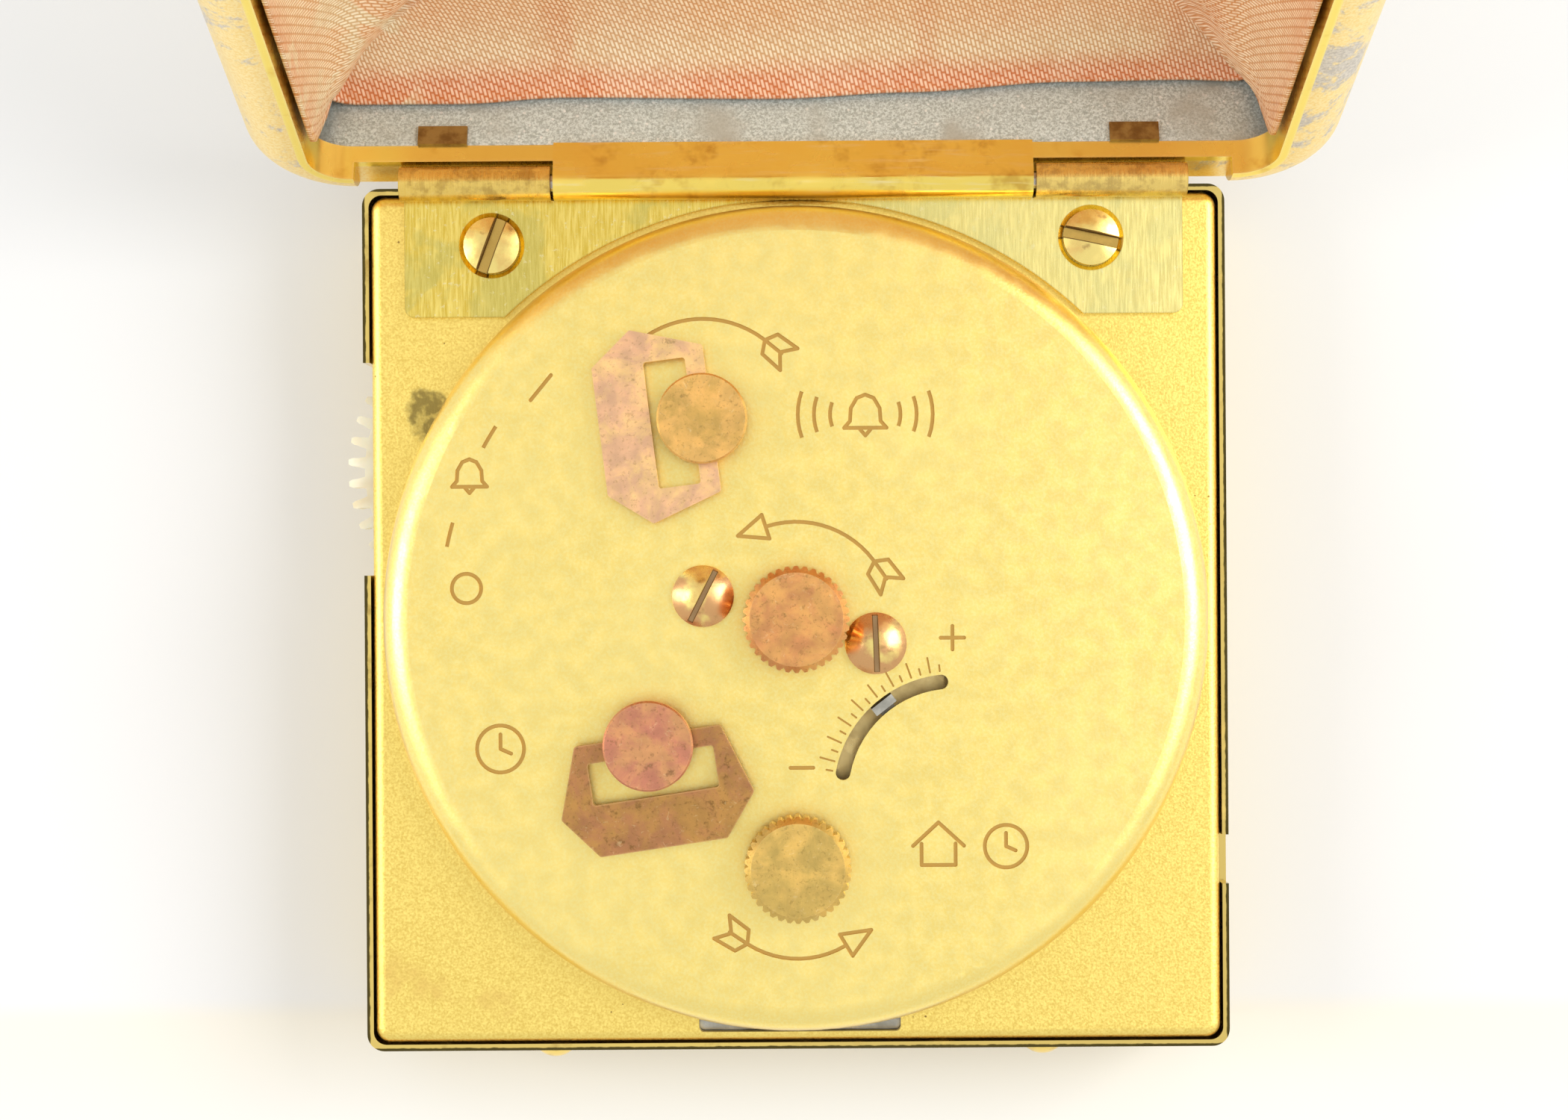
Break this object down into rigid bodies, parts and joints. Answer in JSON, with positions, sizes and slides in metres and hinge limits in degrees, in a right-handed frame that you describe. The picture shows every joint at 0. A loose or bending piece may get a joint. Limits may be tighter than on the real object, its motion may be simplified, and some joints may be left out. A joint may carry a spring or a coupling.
{
  "type": "folding travel alarm clock",
  "caption": "Square wind-up travel alarm clock with knurled knobs and folding winding keys, hinged to a two-piece pillow-shaped metal case with satin lining, folded open.",
  "frame": {"origin": "centre of the clock's face, on the plane that its bezel rests on", "axes": "+Z out of the clock's back, +Y towards its hinge, +X to the right of somebody looking at its back"},
  "size_m": [0.0744, 0.1242, 0.1431],
  "materials": {
    "polished_case": "polished gold wash",
    "frosted_pan": "sand-blasted gold wash",
    "satin_cover": "satin pale gold",
    "copper_screw": "tarnished copper colour",
    "brushed_leaf": "brushed, with green patches",
    "shell_metal": "frosted gold worn to grey",
    "shell_frame": "polished gold",
    "grey_liner": "grey with a fine sparkle",
    "satin_lining": "salmon satin",
    "hinge_brass": "worn brass",
    "key_copper": "pinkish tarnish",
    "key_bronze": "purple-brown tarnish",
    "knob_bronze": "dirty copper-bronze",
    "knob_brass": "olive brass",
    "ivory_plastic": "ivory",
    "movement_brass": "plain brass",
    "movement_steel": "bright steel",
    "nickel_strip": "nickelled",
    "crystal_clear": "clear",
    "dial_enamel": "matt off-white",
    "hand_dark": "black"
  },
  "bodies": {
    "clock": {"front_case": "polished_case", "bezel_ring": "polished_case", "crystal": "crystal_clear", "dial": "dial_enamel", "back_pan": "frosted_pan", "movement_cover": "satin_cover", "cover_screws": "copper_screw", "clock_hinge_leaf": "brushed_leaf", "leaf_screws": "copper_screw", "clock_hinge_pin": "movement_steel", "foot_studs": "polished_case", "front_movement_plate": "movement_brass", "rear_movement_plate": "movement_brass", "plate_pillars": "movement_brass", "casing_ring": "nickel_strip", "hairspring": "movement_steel", "clicks": "movement_steel"},
    "back_shell": {"back_shell_pan": "shell_metal", "back_shell_frame": "shell_frame", "back_shell_lining": "satin_lining", "hinge_side_liner": "grey_liner", "frame_tabs": "shell_frame", "shell_hinge_leaf": "hinge_brass", "case_hinge_leaf_back": "hinge_brass", "case_hinge_pin": "movement_steel"},
    "front_shell": {"front_shell_pan": "shell_metal", "front_shell_frame": "shell_frame", "front_shell_lining": "satin_lining", "case_hinge_leaf_front": "hinge_brass", "closing_tongues": "movement_steel"},
    "alarm_key": {"alarm_key_post": "key_copper", "alarm_key_arbor": "movement_steel"},
    "alarm_wing": {"alarm_key_wing": "key_copper"},
    "time_key": {"time_key_post": "key_bronze", "time_key_arbor": "movement_steel"},
    "time_wing": {"time_key_wing": "key_bronze"},
    "alarm_setting": {"alarm_set_knob": "knob_bronze", "alarm_arbor": "movement_steel", "alarm_hand": "hand_dark"},
    "time_setting": {"time_set_knob": "knob_brass", "set_wheel": "movement_brass"},
    "minute": {"cannon_pinion": "movement_steel", "minute_hand": "hand_dark"},
    "minute_work": {"minute_wheel": "movement_brass"},
    "hour": {"hour_wheel": "movement_brass", "hour_hand": "hand_dark"},
    "switch": {"alarm_switch": "ivory_plastic"},
    "regulator": {"regulator_lever": "nickel_strip"},
    "time_drum": {"time_barrel": "movement_brass", "time_mainspring": "movement_steel"},
    "centre": {"centre_wheel": "movement_brass"},
    "third": {"third_wheel": "movement_brass"},
    "fourth": {"fourth_wheel": "movement_brass"},
    "escape": {"escape_wheel": "movement_steel"},
    "pallet": {"pallet_fork": "movement_steel"},
    "balance": {"balance_wheel": "movement_brass"},
    "alarm_drum": {"alarm_barrel": "movement_brass", "alarm_mainspring": "movement_steel"},
    "alarm_escape": {"alarm_escape_wheel": "movement_steel"},
    "hammer": {"alarm_hammer": "movement_steel"}
  },
  "joints": [
    {"name": "back_shell_hinge", "type": "hinge", "parent": "clock", "child": "back_shell", "pos_m": [0, 0.0301, 0.0135], "axis": [1, 0, 0], "range_deg": [0, 110.6]},
    {"name": "front_shell_hinge", "type": "hinge", "parent": "back_shell", "child": "front_shell", "pos_m": [0, 0.05413, 0.07743], "axis": [1, 0, 0], "range_deg": [0, 167]},
    {"name": "alarm_key_turn", "type": "hinge", "parent": "clock", "child": "alarm_key", "pos_m": [-0.00627, 0.01357, 0.009], "axis": [0, 0, 1], "continuous": true},
    {"name": "alarm_wing_fold", "type": "hinge", "parent": "alarm_key", "child": "alarm_wing", "pos_m": [-0.00627, 0.01357, 0.0168], "axis": [-0.1219, 0.9925, 0], "range_deg": [0, 180]},
    {"name": "time_key_turn", "type": "hinge", "parent": "clock", "child": "time_key", "pos_m": [-0.01004, -0.00847, 0.009], "axis": [0, 0, 1], "continuous": true},
    {"name": "time_wing_fold", "type": "hinge", "parent": "time_key", "child": "time_wing", "pos_m": [-0.01004, -0.00847, 0.0168], "axis": [-0.9895, -0.1444, 0], "range_deg": [0, 180]},
    {"name": "alarm_setting_turn", "type": "hinge", "parent": "clock", "child": "alarm_setting", "pos_m": [0, 0, 0.009], "axis": [0, 0, 1], "continuous": true},
    {"name": "time_setting_turn", "type": "hinge", "parent": "clock", "child": "time_setting", "pos_m": [0, -0.01683, 0.009], "axis": [0, 0, 1], "continuous": true},
    {"name": "minute_work_turn", "type": "hinge", "parent": "clock", "child": "minute_work", "pos_m": [0, -0.0066, 0.009], "axis": [0, 0, 1], "continuous": true},
    {"name": "minute_turn", "type": "hinge", "parent": "clock", "child": "minute", "pos_m": [0, 0, 0.009], "axis": [0, 0, 1], "continuous": true},
    {"name": "hour_turn", "type": "hinge", "parent": "clock", "child": "hour", "pos_m": [0, 0, 0.009], "axis": [0, 0, 1], "continuous": true},
    {"name": "switch_turn", "type": "hinge", "parent": "clock", "child": "switch", "pos_m": [-0.0207, 0.0105, 0.0092], "axis": [0, 0, 1], "range_deg": [-11, 11]},
    {"name": "regulator_turn", "type": "hinge", "parent": "clock", "child": "regulator", "pos_m": [0.01064, -0.01199, 0.0131], "axis": [0, 0, 1], "range_deg": [-24, 33]},
    {"name": "centre_turn", "type": "hinge", "parent": "clock", "child": "centre", "pos_m": [0, 0, 0.009], "axis": [0, 0, 1], "continuous": true},
    {"name": "time_drum_turn", "type": "hinge", "parent": "clock", "child": "time_drum", "pos_m": [-0.01004, -0.00847, 0.009], "axis": [0, 0, 1], "continuous": true},
    {"name": "third_turn", "type": "hinge", "parent": "clock", "child": "third", "pos_m": [0.00846, 0.00308, 0.009], "axis": [0, 0, 1], "continuous": true},
    {"name": "fourth_turn", "type": "hinge", "parent": "clock", "child": "fourth", "pos_m": [0.01582, 0.00178, 0.009], "axis": [0, 0, 1], "continuous": true},
    {"name": "escape_turn", "type": "hinge", "parent": "clock", "child": "escape", "pos_m": [0.01464, -0.00492, 0.009], "axis": [0, 0, 1], "continuous": true},
    {"name": "balance_swing", "type": "hinge", "parent": "clock", "child": "balance", "pos_m": [0.01064, -0.01199, 0.009], "axis": [0, 0, 1], "range_deg": [-60, 60], "stiffness_Nm_per_rad": 0.000008},
    {"name": "pallet_rock", "type": "hinge", "parent": "clock", "child": "pallet", "pos_m": [0.01277, -0.00822, 0.009], "axis": [0, 0, 1], "range_deg": [-3, 3]},
    {"name": "alarm_drum_turn", "type": "hinge", "parent": "clock", "child": "alarm_drum", "pos_m": [-0.00627, 0.01357, 0.009], "axis": [0, 0, 1], "continuous": true},
    {"name": "alarm_escape_turn", "type": "hinge", "parent": "clock", "child": "alarm_escape", "pos_m": [0.00403, 0.01502, 0.009], "axis": [0, 0, 1], "continuous": true},
    {"name": "hammer_swing", "type": "hinge", "parent": "clock", "child": "hammer", "pos_m": [0.00811, 0.01692, 0.009], "axis": [0, 0, 1], "range_deg": [-5, 5]}
  ],
  "couplings": [
    {"joint": "minute_work_turn", "follows": "time_setting_turn", "ratio": -1.0667},
    {"joint": "minute_turn", "follows": "time_setting_turn", "ratio": 3.2},
    {"joint": "hour_turn", "follows": "time_setting_turn", "ratio": 0.26667},
    {"joint": "time_drum_turn", "follows": "centre_turn", "ratio": -0.15625},
    {"joint": "third_turn", "follows": "centre_turn", "ratio": -8},
    {"joint": "fourth_turn", "follows": "centre_turn", "ratio": 60},
    {"joint": "escape_turn", "follows": "centre_turn", "ratio": -450},
    {"joint": "pallet_rock", "follows": "balance_swing", "ratio": -0.04},
    {"joint": "alarm_escape_turn", "follows": "alarm_drum_turn", "ratio": -7}
  ]
}
